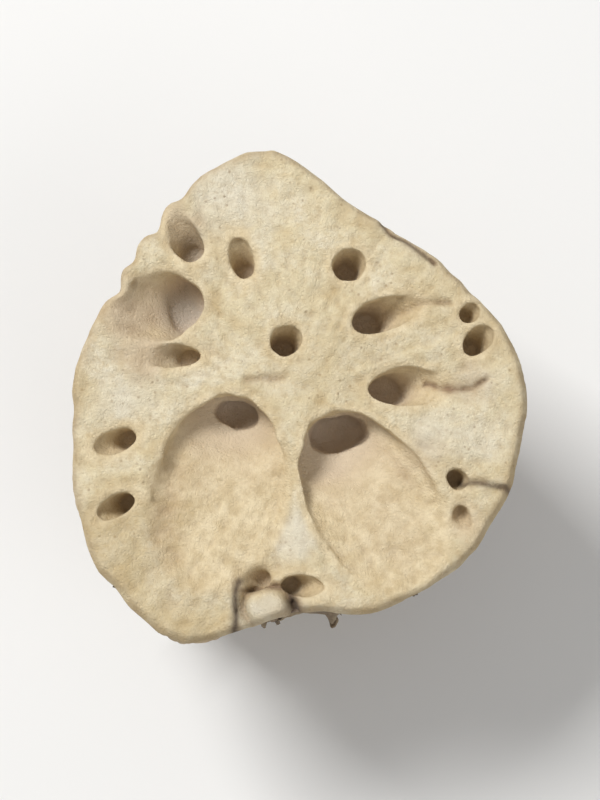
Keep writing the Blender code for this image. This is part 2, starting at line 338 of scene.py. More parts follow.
skinLook = {  # where two values stand together, they are a height and the size of its pattern, mm
    "ringCrest": (9.6, 0.10, 0.06),  # crest of the node ring: height, rise per mm in x and in y
    "ringRadius": 12.5,
    "ringBand": (3.5, 1.4),  # distances from the crest between which the ring fades in
    "ringStray": (0.5, 2.2),
    "lumps": (0.30, 4.5),
    "furrows": (0.34, 1.7),
    "fineFurrows": (0.08, 0.6),
    "lengthwise": 0.13,  # how drawn out along the rhizome the furrows are
    "tightest": (4, 3.5),  # most shrunken at this distance from the ring's crest, and over how far
    "ringGrains": (0.20, 1.05),
    "ringFineGrains": (0.10, 0.45),
    "ringFolds": (0.38, 1.1),
    "sheathScars": ((2.35, 0.30), (-2.15, 0.26)),  # raised lines round the ring: over its crest, half width
    "sheathRise": 0.32,
}


def weldedCopy():
    mesh = solid.data.copy()
    mesh.materials.clear()
    piece = linkObject("driedRhizome", mesh)
    weld = piece.modifiers.new("weld", "WELD")
    weld.merge_threshold = 1e-6
    return piece


def carveAndRemesh(piece):
    cutters = [channelCutter(), crackCutter()]
    for cutter in cutters:
        cut = piece.modifiers.new(cutter.name, "BOOLEAN")
        cut.operation = "DIFFERENCE"
        cut.use_self = True
        cut.object = cutter
    remesh = piece.modifiers.new("remesh", "REMESH")
    remesh.mode = "VOXEL"
    remesh.voxel_size = shape["voxel"] * mm
    remesh.use_smooth_shade = True
    soften = piece.modifiers.new("soften", "SMOOTH")
    soften.factor = 0.5
    soften.iterations = shape["softenAll"]
    bakeModifiers(piece)
    for cutter in cutters:
        bpy.data.objects.remove(cutter)


def ringHeight(points):
    height, riseX, riseY = skinLook["ringCrest"]
    return height + riseX * points[:, 0] + riseY * points[:, 1]


def neighbourMean(mesh, values):
    edges = np.empty(len(mesh.edges) * 2, int)
    mesh.edges.foreach_get("vertices", edges)
    a, b = edges.reshape(-1, 2).T
    count = len(mesh.vertices)
    total = np.bincount(a, values[b], count) + np.bincount(b, values[a], count)
    return total / np.maximum(np.bincount(a, minlength=count) + np.bincount(b, minlength=count), 1)


def spread(mesh, values, rounds):
    for _ in range(rounds):
        values = 0.5 * values + 0.5 * neighbourMean(mesh, values)
    return values


def markRegions(piece):
    mesh = piece.data
    points = readPoints(mesh)
    wall, mouthEdge, below = channelFields(points)
    height = points[:, 2]
    upperCut = fade(*shape["upperCutBand"], below) * (1 - wall)
    lowerCut = fade(*shape["lowerCutBand"], height)
    middleX, middleY = shape["lowerChannelsMiddle"]
    fromMiddle = np.hypot(points[:, 0] - middleX, points[:, 1] - middleY)
    lowerWall = fade(*shape["lowerChannelsReach"], fromMiddle) * fade(*shape["lowerChannelsTop"], height)
    lowerWall *= fade(*shape["lowerChannelsFoot"], height)
    skin = np.clip(1 - upperCut - wall - lowerCut - lowerWall, 0, 1)
    stray, size = skinLook["ringStray"]
    fromCrest = abs(height - ringHeight(points)) + stray * octaves(points + 80, size, 2)
    ring = skin * fade(*skinLook["ringBand"], fromCrest)
    masks = {"wall": wall, "lowerWall": lowerWall, "mouthEdge": mouthEdge, "skin": skin, "ring": ring}
    for name, values in masks.items():
        storeMask(mesh, name, spread(mesh, values, 2))
    storeMask(mesh, "depth", (wall * below + lowerWall * height) / shape["depthScale"])


def softenPart(piece, name, weights, rounds):
    group = piece.vertex_groups.new(name=name)
    for level in range(1, 11):
        chosen = np.nonzero(np.round(weights * 10) == level)[0]
        group.add(chosen.tolist(), level / 10, "REPLACE")
    soften = piece.modifiers.new(name, "SMOOTH")
    soften.factor = 0.5
    soften.iterations = rounds
    soften.vertex_group = name


def smoothSurface(piece):  # the skin all over, and the worn edges of the wide channels
    points = readPoints(piece.data)
    worn = np.zeros(len(points))
    for x, y, radius in carving["wornEdges"]:
        gap = np.hypot(points[:, 0] - x, points[:, 1] - y) / radius
        nearCut = points[:, 2] > upperCutHeight(x, y) - carving["wornDepth"]
        worn = np.maximum(worn, fade(1.0, 0.5, gap) * nearCut)
    softenPart(piece, "skin", readMask(piece.data, "skin"), shape["softenSkin"])
    softenPart(piece, "worn", worn, shape["softenWorn"])
    bakeModifiers(piece)
    piece.vertex_groups.clear()


# Broken rootlets of the node ring, mm: a row of stout stubs, each in a scar, with finer ones between
rootletLook = {
    "stubs": 17,
    "firstStub": 341.8,  # bearing of the first, just past the leaf stalk's scar
    "stubGap": 20.03,
    "row": 0.75,  # half the height between the two rows that the stubs stand in
    "stubLength": (0.7, 1.9),
    "stubRadius": (0.34, 0.52),
    "fine": 40,
    "fineLength": (0.5, 2.0),
    "fineRadius": (0.12, 0.24),
    "fineSpread": 1.6,  # how far above and below the crest they grow
    "notch": (235, 300, 0.55),  # shorter under the rim's notch: first and last bearing, share of the length
    "steps": 9,
    "sides": 11,
    "droop": 0.35,
    "curl": 0.5,
    "scarSize": 1.7,  # scar's radius for each mm of the rootlet's
    "scarLip": 0.20,
    "scarPit": 0.30,
}


def rootletPlaces():  # bearing in degrees, height over the crest, length and radius of each rootlet
    look = rootletLook
    dice = random.Random(23)
    places = []
    for k in range(look["stubs"]):
        bearing = look["firstStub"] + look["stubGap"] * k
        size = (dice.uniform(*look["stubLength"]), dice.uniform(*look["stubRadius"]))
        places.append((bearing, look["row"] * (-1) ** k, *size))
    for k in range(look["fine"]):
        bearing = 360 * (k + dice.uniform(-0.4, 0.4)) / look["fine"]
        size = (dice.uniform(*look["fineLength"]), dice.uniform(*look["fineRadius"]))
        places.append((bearing, dice.uniform(-1, 1) * look["fineSpread"], *size))
    return places


def rootScars(points, skin):  # a low lip round a dark pit where each rootlet grows or fell off
    move = np.zeros(len(points))
    dark = np.zeros(len(points))
    bearing = np.arctan2(points[:, 1], points[:, 0])
    rising = points[:, 2] - ringHeight(points)
    onSkin = np.nonzero((skin > 0.8) & (abs(rising) < 3))[0]
    for turn, rise, _, radius in rootletPlaces():
        away = (bearing[onSkin] - math.radians(turn) + math.pi) % (2 * math.pi) - math.pi
        centre = points[onSkin[np.argmin((away * 12) ** 2 + (rising[onSkin] - rise) ** 2)]]
        gap = np.linalg.norm(points - centre, axis=1) / (radius * rootletLook["scarSize"])
        move += rootletLook["scarLip"] * min(1, radius * 2.4) * np.exp(-(((gap - 1) / 0.4) ** 2))
        move -= rootletLook["scarPit"] * radius * np.exp(-((gap / 0.7) ** 2))
        dark = np.maximum(dark, np.exp(-((gap / 0.8) ** 4)))
    return move, dark


def wrinkleSkin(piece):
    look = skinLook
    mesh = piece.data
    points = readPoints(mesh)
    normals = readNormals(mesh)
    skin = readMask(mesh, "skin")
    ring = readMask(mesh, "ring")
    bare = skin * (1 - ring)
    along = points * (1, 1, look["lengthwise"])
    bent = along + 0.5 * np.stack([waves(points + k * 31, 3.5) for k in range(3)], axis=1)
    rising = points[:, 2] - ringHeight(points)
    tightest, tightHalf = look["tightest"]
    tight = 0.45 + 0.55 * np.exp(-((abs(rising) - tightest) / tightHalf) ** 2)
    furrow = (1 - abs(octaves(bent, look["furrows"][1], 2))) ** 5
    fine = (1 - abs(waves(bent * (1, 1, 0.6) + 11, look["fineFurrows"][1]))) ** 3
    move = -look["furrows"][0] * furrow * bare * tight
    move -= look["fineFurrows"][0] * fine * bare
    move += look["lumps"][0] * octaves(points, look["lumps"][1], 2) * skin
    bumpy = points + 0.35 * np.stack([waves(points + 7 * k, 0.8) for k in range(3)], axis=1)
    grains = pebbles(bumpy * (1, 1, 1.3), look["ringGrains"][1], 3)
    fineGrains = pebbles(bumpy, look["ringFineGrains"][1], 5)
    grainy = fade(-0.2, 0.5, octaves(points + 70, 2.6, 2))  # grains stand in patches
    roundRing = bumpy * (0.28, 0.28, 1.3)  # drawn out sideways, so that the folds run round the ring
    folds = (1 - abs(octaves(roundRing, look["ringFolds"][1], 2))) ** 2
    move += ring * look["ringGrains"][0] * (grains - 0.6) * grainy
    move += ring * look["ringFineGrains"][0] * (fineGrains - 0.5) * (0.4 + 0.6 * grainy)
    move -= ring * look["ringFolds"][0] * folds
    for offset, wide in look["sheathScars"]:
        line = np.exp(-((rising - offset - 0.35 * waves(points + 40, 3.0)) / wide) ** 2)
        torn = fade(-0.5, 0.3, waves(points + 60, 1.6))
        move += look["sheathRise"] * line * torn * skin
    scarMove, scarDark = rootScars(points, skin)
    move += scarMove
    points += normals * move[:, None]
    storeMask(mesh, "scar", scarDark)
    # how deep each furrow lies, for the painted shade in them
    storeMask(mesh, "furrow", bare * np.clip(furrow * tight + 0.35 * fine, 0, 1))
    # the gaps between grains and in the folds, for the painted shade in them
    gaps = 0.45 * np.clip(1 - grains * 1.6, 0, 1) * grainy + 0.3 * np.clip(1 - fineGrains * 1.8, 0, 1)
    storeMask(mesh, "gaps", ring * (gaps + 0.5 * folds**2))
    points[:, 2] = np.maximum(points[:, 2], 0)
    writePoints(mesh, points)


# Lines pressed into the upper cut, mm: points, half width, depth, how red and how dark each one is. The red
# is a stain on most lines and painted shade on the scoop lines; the dark is painted shade in the cracks,
# grooves and gaps
creases = {
    "longSlotTail": (((7.9, 0.6), (9.4, 0.2), (10.7, 0.25), (11.6, 0.75)), 0.17, 0.35, 0.9, 0.15),
    "shoulderTail": (((6.7, 5.3), (8.2, 5.85), (9.4, 5.7)), 0.26, 0.26, 0.2, 0),
    "heartSlit": (((-3.1, 0.8), (-2.0, 1.05), (-0.9, 1.1)), 0.28, 0.28, 0.35, 0),
    # the next two lines paint shade: along the left scoop's left wall and along the right scoop's upper
    # edge
    "scoopShade": (
        ((-6.0, -1.8), (-7.5, -3.5), (-8.3, -6.0), (-8.5, -8.4), (-8.0, -10.0)), 0.70, 0.24, 0.36, 0,
    ),
    "scoopEdge": (((4.6, -3.1), (6.0, -4.3), (7.4, -6.1)), 0.22, 0.10, 0.45, 0),
    "skinPeel": (((5.0, 10.7), (6.1, 10.0), (7.4, 9.1), (8.4, 8.3)), 0.18, 0.45, 0.6, 0.6),
    "crackFoot": (((10.0, -5.5), (11.3, -5.7), (12.5, -6.0), (14.2, -6.2)), 0.24, 0.08, 0.4, 0.75),
    "notchFoot": (((-3.75, -11.7), (-3.95, -13.2), (-3.8, -14.6), (-4.0, -16.8)), 0.30, 0.10, 0.5, 0.95),
    "knobSide": (((-0.6, -12.5), (-0.35, -13.6), (0.0, -15.2)), 0.40, 0.15, 0.8, 0.9),
    "knobTop": (((-3.4, -12.4), (-2.6, -12.1), (-1.6, -12.05), (-0.8, -12.4)), 0.22, 0.30, 0.7, 0.35),
    "wornRidge": (((-1.3, -4.0), (-1.1, -7.5), (-1.4, -10.5)), 1.00, 0.45, 0, 0),
}

# Tints of the cut flesh, mm: x, y, radius and strength of each patch
tints = {
    "ochre": (
        # the third and fourth ochre patches paint the shade on the left scoop's left wall
        (-11.5, -10.0, 5.0, 0.8), (-8.0, -14.5, 4.0, 0.8), (-7.8, -7.3, 1.7, 0.6), (-7.7, -4.6, 1.5, 0.5),
        (-2.5, -1.8, 2.4, 0.35), (1.0, 1.5, 3.6, 0.4), (8.5, 6.5, 3.4, 0.35), (4.8, 2.6, 2.4, 0.4),
        (-1.5, -12.4, 2.6, 0.45), (5.0, -14.2, 3.0, 0.4), (12.3, 4.0, 2.6, 0.45), (13.0, -6.0, 2.4, 0.35),
        (-13.6, 1.0, 2.4, 0.4),
    ),
    "blush": (
        (7.7, -3.8, 1.8, 0.35), (-10.6, 5.2, 2.6, 0.75), (-9.8, 2.6, 2.2, 0.65), (10.8, 0.6, 1.8, 0.5),
        (5.6, -8.6, 3.2, 0.18), (-7.6, 10.6, 1.8, 0.5), (10.4, -8.2, 1.7, 0.35),
    ),
    "ash": ((-7.7, 5.6, 1.9, 0.8), (-6.9, 9.4, 1.2, 0.6), (-8.0, 2.4, 1.0, 0.3)),
    "pale": (
        # the second pale patch, on the knob, paints part of its highlight
        (-0.2, -8.6, 2.4, 0.9), (-2.0, -13.2, 1.3, 1.0), (-10.8, -0.6, 2.6, 0.6), (-4.6, 12.0, 4.0, 0.5),
        (10.6, -3.2, 2.4, 0.4), (8.2, -2.4, 2.0, 0.5),
    ),
}


def pathDistance(points, path):
    best = np.full(len(points), 99.0)
    for (ax, ay), (bx, by) in zip(path, path[1:]):
        dx, dy = bx - ax, by - ay
        t = np.clip(((points[:, 0] - ax) * dx + (points[:, 1] - ay) * dy) / (dx * dx + dy * dy), 0, 1)
        best = np.minimum(best, np.hypot(points[:, 0] - ax - t * dx, points[:, 1] - ay - t * dy))
    return best


faceLook = {  # where two values stand together, they are a height and the size of its pattern, mm
    "undulation": (0.24, 3.4),
    "bumps": (0.10, 0.95),
    "grit": (0.06, 0.42),
    "spokes": 0.11,  # ridges that run from the middle to the rim
    "sunken": (0.18, 2.4),  # how far the flesh sank between the channels and the rim
    "rimWidth": 1.0,
    "rimLip": 0.10,
    "rimStray": 0.14,
    # nibbles out of the rim: bearing and half width in degrees, depth
    "bites": ((121, 3.0, 0.40), (131, 3.4, 0.62), (141, 2.6, 0.35), (150, 3.2, 0.50), (227, 3.0, 0.25)),
    "biteHeights": (15, 21),  # they fade in between these heights
    "knob": (-2.05, -13.35, 1.30, 1.20, 0.42, 0.70),  # x, y, half width, half length, rise, groove round it
}


def outlineRadius(points, upper):  # how far out the rim is at each point's bearing
    sectors = 180
    bearing = np.arctan2(points[:, 1], points[:, 0])
    radius = np.hypot(points[:, 0], points[:, 1])
    place = (bearing + math.pi) / (2 * math.pi) * sectors
    sector = place.astype(int) % sectors
    rim = np.zeros(sectors)
    np.maximum.at(rim, sector[upper], radius[upper])
    rim = (np.roll(rim, 1) + rim + np.roll(rim, -1)) / 3
    low = np.floor(place - 0.5).astype(int)
    t = place - 0.5 - low
    return rim[low % sectors] * (1 - t) + rim[(low + 1) % sectors] * t, radius, bearing


def pressCreases(mesh, points, wandering, below, drop):  # deepens drop along each crease, and tints it: red-brown stain on most, painted shade along the scoop lines, and painted shade darkening the cracks and gaps
    stainAndShade = np.zeros(len(points))
    crackShade = np.zeros(len(points))
    patchy = 0.55 + 0.45 * waves(points + 3, 0.7)
    for path, half, depth, red, dark in creases.values():
        gap = pathDistance(wandering, path) / half
        drop += depth * np.exp(-(gap**2))
        # the red paints a stain on most creases and the shade along the scoop lines
        stainAndShade = np.maximum(stainAndShade, np.exp(-((gap / 1.5) ** 2)) * red * patchy * fade(1.9, 0.6, below))
        # painted shade in the cracks, grooves and gaps
        crackShade = np.maximum(crackShade, np.exp(-((gap / 0.9) ** 2)) * dark * fade(2.7, 1.3, below))
    storeMask(mesh, "stainAndShade", stainAndShade)
    storeMask(mesh, "crackShade", crackShade)


def tintPatches(mesh, flat, wandering):
    for name, patches in tints.items():
        tint = np.zeros(len(flat))
        for px, py, size, strength in patches:
            gap = np.hypot(wandering[:, 0] - px, wandering[:, 1] - py) / size
            tint = np.maximum(tint, strength * fade(1.15, 0.25, gap + 0.22 * waves(flat + px, 0.9)))
        storeMask(mesh, name, tint)


def workUpperCut(piece):
    look = faceLook
    mesh = piece.data
    points = readPoints(mesh)
    x, y = points[:, 0], points[:, 1]
    below = upperCutHeight(x, y) - points[:, 2]
    top = fade(1.7, 0.1, below)  # 1 on the cut, and less down the channels' walls and the skin
    rim, radius, bearing = outlineRadius(points, below < 1.2)
    fromRim = rim - radius
    edge = fade(look["rimWidth"], 0.1, fromRim) * top
    flat = points * (1, 1, 0)
    polar = np.stack((np.cos(bearing) * 9, np.sin(bearing) * 9, radius * 0.12), axis=1)
    drop = -look["undulation"][0] * octaves(flat, look["undulation"][1], 3)
    drop -= look["bumps"][0] * octaves(flat + 5, look["bumps"][1], 2)
    drop -= look["grit"][0] * waves(flat + 13, look["grit"][1])
    drop -= look["spokes"] * (octaves(polar, 1.1, 2) + 0.5 * waves(polar, 0.35)) * fade(1.5, 5, radius)
    drop += look["sunken"][0] * fade(0.8, 2.6, fromRim) * (0.6 + 0.4 * waves(flat + 21, look["sunken"][1]))
    drop -= look["rimLip"] * edge * fade(0.0, 0.5, fromRim)
    wandering = points + 0.25 * np.stack([waves(points + 9 * k, 1.1) for k in range(3)], axis=1)
    pressCreases(mesh, points, wandering, below, drop)
    knobX, knobY, wide, long, rise, groove = look["knob"]
    fromKnob = np.hypot((x - knobX) / wide, (y - knobY) / long)
    drop -= rise * np.sqrt(np.clip(1 - fromKnob**2, 0, 1))
    drop += groove * np.exp(-(((fromKnob - 1.15) / 0.22) ** 2))
    points[:, 2] -= drop * top
    bite = look["rimStray"] * (0.5 + 0.5 * waves(polar * 1.6 + 33, 1.2))
    for middle, half, depth in look["bites"]:
        bite += depth * np.exp(-(((np.degrees(bearing) % 360 - middle) / half) ** 2))
    inwards = bite * fade(3.2, 0.2, fromRim) * fade(*look["biteHeights"], points[:, 2])
    points[:, 0] -= inwards * np.cos(bearing)
    points[:, 1] -= inwards * np.sin(bearing)
    writePoints(mesh, points)
    storeMask(mesh, "rimEdge", edge)
    tintPatches(mesh, flat, wandering)


def markHollows(piece):  # how far each point lies in a dip or on a crest: the dips get painted shade, the crests a lighter tone
    mesh = piece.data
    points = readPoints(mesh)
    normals = readNormals(mesh)
    level = np.stack([spread(mesh, points[:, axis], 6) for axis in range(3)], axis=1)
    dip = np.sum((level - points) * normals, axis=1) / shape["voxel"]
    dip = spread(mesh, dip, 2)
    storeMask(mesh, "dip", dip * 2.2)
    storeMask(mesh, "crest", -dip * 2.2)


def surfacePoint(tree, bearing, height):  # where the skin is at this bearing and height, mm, and its normal
    turn = math.radians(bearing)
    out = Vector((math.cos(turn), math.sin(turn), 0))
    far = cadHigh.length / mm
    foot, normal, _, _ = tree.ray_cast((out * far + Vector((0, 0, height))) * mm, -out)
    return foot / mm, normal


def crestHeight(bearing):
    height, riseX, riseY = skinLook["ringCrest"]
    turn = math.radians(bearing)
    return height + skinLook["ringRadius"] * (riseX * math.cos(turn) + riseY * math.sin(turn))


def rootletRings(foot, normal, length, radius, dice):  # tapers, curls and ends in a blunt, torn tip
    look = rootletLook
    stray = [dice.uniform(-0.4, 0.4) for _ in range(3)]
    heading = (normal + Vector(stray)).normalized()
    sideways = (dice.uniform(-1, 1), dice.uniform(-1, 1))
    curl = Vector((*sideways, dice.uniform(-0.5, 0.5) - look["droop"])) * look["curl"]
    place = foot - heading * 0.3
    ripple = dice.uniform(0, 6)
    rings = []
    last = look["steps"] - 1
    for step in range(look["steps"]):
        share = step / last
        across = heading.orthogonal().normalized()
        up = heading.cross(across)
        wide = radius * (1.2 - 0.5 * share) * (1 + 0.1 * math.sin(9 * share + ripple))
        ring = []
        for i in range(look["sides"]):
            angle = 2 * math.pi * i / look["sides"]
            ridge = wide * (1 + 0.16 * math.sin(3 * angle + ripple) + dice.uniform(-0.06, 0.06))
            tear = heading * (dice.uniform(-0.5, 0.5) * radius if step == last else 0)
            ring.append(place + tear + (across * math.cos(angle) + up * math.sin(angle)) * ridge)
        rings.append(ring)
        heading = (heading + curl / look["steps"]).normalized()
        place = place + heading * length / last
    middle = sum(rings[-1], Vector()) / look["sides"]
    rings.append([middle + (point - middle) * 0.55 - heading * radius * 0.35 for point in rings[-1]])
    return rings


def brokenRootlets(rhizome):
    dice = random.Random(57)
    tree = BVHTree.FromObject(rhizome, bpy.context.evaluated_depsgraph_get())
    first, last, share = rootletLook["notch"]
    tubes = []
    for bearing, rise, length, radius in rootletPlaces():
        if first < bearing % 360 < last:
            length *= share
        foot, normal = surfacePoint(tree, bearing, crestHeight(bearing) + rise)
        tubes.append(rootletRings(foot, normal, length, radius, dice))
    rootlets = loftRings("brokenRootlets", tubes)
    rootlets.data.shade_smooth()
    return rootlets


# Torn remains of the scale leaves that sheathed the node, mm
scaleLook = {
    "count": 15,
    "width": (1.6, 4.2),
    "height": (0.6, 1.7),
    "thickness": 0.11,
    "line": (-2.2, 1.9),  # they grow from the lower or the upper edge of the ring
    "flare": 0.35,  # how far the free edge stands off
    "columns": 15,
    "rows": 5,
}


def scaleLeaf(tree, bearing, rise, width, height, dice):  # one ragged strip that hugs the ring
    look = scaleLook
    columns = []
    ripple = dice.uniform(0, 6)
    for c in range(look["columns"]):
        share = c / (look["columns"] - 1)
        turn = bearing + math.degrees((share - 0.5) * width / skinLook["ringRadius"])
        foot, normal = surfacePoint(tree, turn, crestHeight(turn) + rise)
        up = Vector((0, 0, 1 if rise < 0 else 0.8)) - normal * normal.z
        up.normalize()
        tall = height * math.sin(math.pi * (0.12 + 0.76 * share)) * dice.uniform(0.62, 1.1)
        front = []
        back = []
        for r in range(look["rows"]):
            part = r / (look["rows"] - 1)
            stand = 0.06 + look["flare"] * part**1.6 * (1 + 0.6 * math.sin(9 * share + ripple))
            place = foot + up * (tall * part - 0.25) + normal * (stand - 0.22 * (1 - part) ** 2)
            half = normal * look["thickness"] * (0.5 - 0.35 * part)
            front.append(place + half)
            back.append(place - half)
        columns.append(front + back[::-1])
    return columns


def scaleLeaves(rhizome):
    look = scaleLook
    dice = random.Random(71)
    tree = BVHTree.FromObject(rhizome, bpy.context.evaluated_depsgraph_get())
    tubes = []
    for k in range(look["count"]):
        bearing = 360 * (k + dice.uniform(-0.35, 0.35)) / look["count"]
        rise = look["line"][k % 2] + dice.uniform(-0.3, 0.3)
        size = (dice.uniform(*look["width"]), dice.uniform(*look["height"]))
        tubes.append(scaleLeaf(tree, bearing, rise, *size, dice))
    leaves = loftRings("scaleLeaves", tubes)
    leaves.data.shade_smooth()
    return leaves


def countTriangles(mesh):
    return sum(len(p.vertices) - 2 for p in mesh.polygons)


def thinOut(piece):
    triangles = countTriangles(piece.data)
    if triangles > shape["triangles"]:
        decimate = piece.modifiers.new("decimate", "DECIMATE")
        decimate.ratio = shape["triangles"] / triangles
        bakeModifiers(piece)
    piece.data.shade_smooth()
    print("rhizome:", triangles, "triangles brought down to", countTriangles(piece.data))


def put(tree, kind, sockets=None, **settings):  # adds a node; sockets holds values or other nodes' outputs
    made = tree.nodes.new("ShaderNode" + kind)
    for name, value in settings.items():
        setattr(made, name, value)
    for name, value in (sockets or {}).items():
        if isinstance(value, bpy.types.NodeSocket):
            tree.links.new(value, made.inputs[name])
        else:
            made.inputs[name].default_value = value
    return made


def mixColours(tree, factor, first, second, way="MIX"):
    made = put(tree, "Mix", data_type="RGBA", blend_type=way)
    for socket, value in ((0, factor), (6, first), (7, second)):
        if isinstance(value, bpy.types.NodeSocket):
            tree.links.new(value, made.inputs[socket])
        else:
            made.inputs[socket].default_value = value if socket == 0 else (*value, 1)
    return made.outputs[2]


def ramp(tree, factor, stops):
    made = put(tree, "ValToRGB", {"Fac": factor})
    elements = made.color_ramp.elements
    while len(elements) < len(stops):
        elements.new(0.5)
    for element, (place, colour) in zip(elements, stops):
        element.position = place
        element.color = (*colour, 1) if isinstance(colour, tuple) else (colour, colour, colour, 1)
    return made.outputs["Color"]


def mask(tree, name):
    return put(tree, "Attribute", attribute_name=name).outputs["Fac"]


def maths(tree, operation, first, second):
    made = put(tree, "Math", operation=operation)
    for socket, value in ((0, first), (1, second)):
        if isinstance(value, bpy.types.NodeSocket):
            tree.links.new(value, made.inputs[socket])
        else:
            made.inputs[socket].default_value = value
    return made.outputs[0]


def noiseAt(tree, where, size, detail=3, roughness=0.55, distortion=0.0):  # size of the swells in mm
    return put(tree, "TexNoise", {"Vector": where, "Scale": 1 / size, "Detail": detail,
                                  "Roughness": roughness, "Distortion": distortion}).outputs["Fac"]


def cellsAt(tree, where, size):
    return put(tree, "TexVoronoi", {"Vector": where, "Scale": 1 / size}).outputs["Distance"]


def tinted(tree, colour, amount, strength, tint):  # lays a tint over a colour where amount is high
    return mixColours(tree, maths(tree, "MULTIPLY", amount, strength), colour, tint)


def newMaterial(name):  # with its texture's place in mm, and the same place drawn out along z
    material = bpy.data.materials.new(name)
    material.use_nodes = True
    tree = material.node_tree
    objectPlace = put(tree, "TexCoord").outputs["Object"]
    along = skinLook["lengthwise"] / mm
    place = put(tree, "Mapping", {"Vector": objectPlace, "Scale": (1 / mm, 1 / mm, 1 / mm)}).outputs[0]
    lengthwise = put(tree, "Mapping", {"Vector": objectPlace, "Scale": (1 / mm, 1 / mm, along)}).outputs[0]
    return material, tree, tree.nodes["Principled BSDF"], place, lengthwise


def addBump(tree, shader, height, strength, depth):  # depth in mm
    bump = put(tree, "Bump", {"Height": height, "Strength": strength, "Distance": depth * mm})
    tree.links.new(bump.outputs["Normal"], shader.inputs["Normal"])


tissueLook = {
    "cream": (0.83, 0.71, 0.465),
    "paleCream": (0.90, 0.81, 0.61),
    "warmCream": (0.66, 0.51, 0.285),
    "fleck": (0.34, 0.22, 0.11),
    "rimTan": (0.42, 0.285, 0.14),
    "ochre": (0.52, 0.365, 0.16),
    "blush": (0.50, 0.37, 0.285),
    "ash": (0.37, 0.35, 0.315),
    "paleAndHighlight": (0.83, 0.78, 0.66),
    "hollowShade": (0.30, 0.20, 0.11),
    "liningPale": (0.92, 0.77, 0.51),
    "liningTan": (0.80, 0.65, 0.45),
    "liningDeep": (0.80, 0.66, 0.52),
    "stainAndShadeBrown": (0.30, 0.15, 0.085),
    "crackShade": (0.055, 0.034, 0.022),
    "skinPale": (0.60, 0.48, 0.34),
    "skinTan": (0.42, 0.30, 0.19),
    "skinRed": (0.28, 0.165, 0.105),
    "ringBrown": (0.165, 0.118, 0.072),
    "ringPale": (0.42, 0.32, 0.215),
    "ringDark": (0.040, 0.028, 0.020),
    "scaleBrown": (0.15, 0.085, 0.05),
    "scalePale": (0.36, 0.245, 0.15),
}

# How large the swells, cells and streaks of each pattern are, mm
patternSize = {
    "mottle": 3.4,
    "chalk": 0.45,
    "flecks": 0.50,
    "fleckZones": 1.9,
    "rimPatches": 1.3,
    "liningStray": 1.8,
    "liningPatches": 0.9,
    "skinStreaks": 0.55,
    "skinPatches": 4.5,
    "freckles": 0.75,
    "ringMottle": 0.8,
    "edgePatches": 0.9,
    "dullness": 1.2,
    "grit": 0.16,
    "strands": 0.20,
    "pores": 0.33,
    "barkMottle": 0.5,
    "barkGrit": 0.12,
    "veins": 0.22,
    "blotches": 1.1,
}


def cutFlesh(tree, place):  # chalky cream, mottled, flecked with the ends of fibres, tan at the rim
    look = tissueLook
    size = patternSize
    mottle = noiseAt(tree, place, size["mottle"], 4, 0.6, 0.4)
    stops = ((0.30, look["warmCream"]), (0.45, look["cream"]), (0.68, look["paleCream"]))
    flesh = ramp(tree, mottle, stops)
    fine = ramp(tree, noiseAt(tree, place, size["chalk"], 5, 0.75), ((0.44, 0.0), (0.68, 1.0)))
    flesh = tinted(tree, flesh, fine, 0.60, look["warmCream"])
    # pale patches: a paler tone, and on the knob part of its highlight painted
    flesh = tinted(tree, flesh, mask(tree, "pale"), 0.65, look["paleAndHighlight"])
    fleck = ramp(tree, cellsAt(tree, place, size["flecks"]), ((0.10, 1.0), (0.24, 0.0)))
    zone = ramp(tree, noiseAt(tree, place, size["fleckZones"], 2), ((0.44, 0.0), (0.58, 1.0)))
    flesh = tinted(tree, flesh, maths(tree, "MULTIPLY", fleck, zone), 0.55, look["fleck"])
    patchy = ramp(tree, noiseAt(tree, place, size["rimPatches"], 3), ((0.30, 0.25), (0.65, 1.0)))
    return tinted(tree, flesh, maths(tree, "MULTIPLY", mask(tree, "rimEdge"), patchy), 0.75, look["rimTan"])


def channelLining(tree, place):  # as pale as the cut near the mouth, and darker and duller with depth, which paints part of the shade down the channels
    look = tissueLook
    stray = maths(tree, "SUBTRACT", noiseAt(tree, place, patternSize["liningStray"], 3), 0.5)
    uneven = maths(tree, "ADD", mask(tree, "depth"), maths(tree, "MULTIPLY", stray, 0.20))
    stops = ((0.08, look["liningPale"]), (0.24, look["liningTan"]), (0.46, look["liningDeep"]))
    lining = ramp(tree, uneven, stops)
    patches = noiseAt(tree, place, patternSize["liningPatches"], 4, 0.7)
    return tinted(tree, lining, ramp(tree, patches, ((0.45, 0.0), (0.8, 1.0))), 0.25, look["warmCream"])


def wrinkledSkin(tree, place, lengthwise):  # pinkish tan with streaks, darker patches and freckles, and painted shade in the furrows
    look = tissueLook
    size = patternSize
    streak = noiseAt(tree, lengthwise, size["skinStreaks"], 5, 0.65, 0.2)
    stops = ((0.30, look["skinTan"]), (0.52, look["skinPale"]), (0.75, look["paleCream"]))
    skin = ramp(tree, streak, stops)
    patches = ramp(tree, noiseAt(tree, place, size["skinPatches"], 4, 0.6), ((0.46, 0.0), (0.66, 1.0)))
    skin = tinted(tree, skin, patches, 0.6, look["skinTan"])
    freckles = ramp(tree, cellsAt(tree, place, size["freckles"]), ((0.12, 1.0), (0.24, 0.0)))
    skin = tinted(tree, skin, freckles, 0.5, look["skinRed"])
    # painted shade: the furrows darker red-brown
    return tinted(tree, skin, mask(tree, "furrow"), 0.75, look["skinRed"])


def nodeRing(tree, place):  # dark grey-brown with pale crests, painted shade in the gaps, and dark rootlet scars
    look = tissueLook
    mottle = noiseAt(tree, place, patternSize["ringMottle"], 5, 0.7)
    tone = ramp(tree, mottle, ((0.35, look["ringBrown"]), (0.66, look["ringPale"])))
    tone = tinted(tree, tone, mask(tree, "crest"), 0.5, look["ringPale"])
    # painted shade: the gaps darker
    tone = tinted(tree, tone, mask(tree, "gaps"), 0.9, look["ringDark"])
    return tinted(tree, tone, mask(tree, "scar"), 0.85, look["ringDark"])


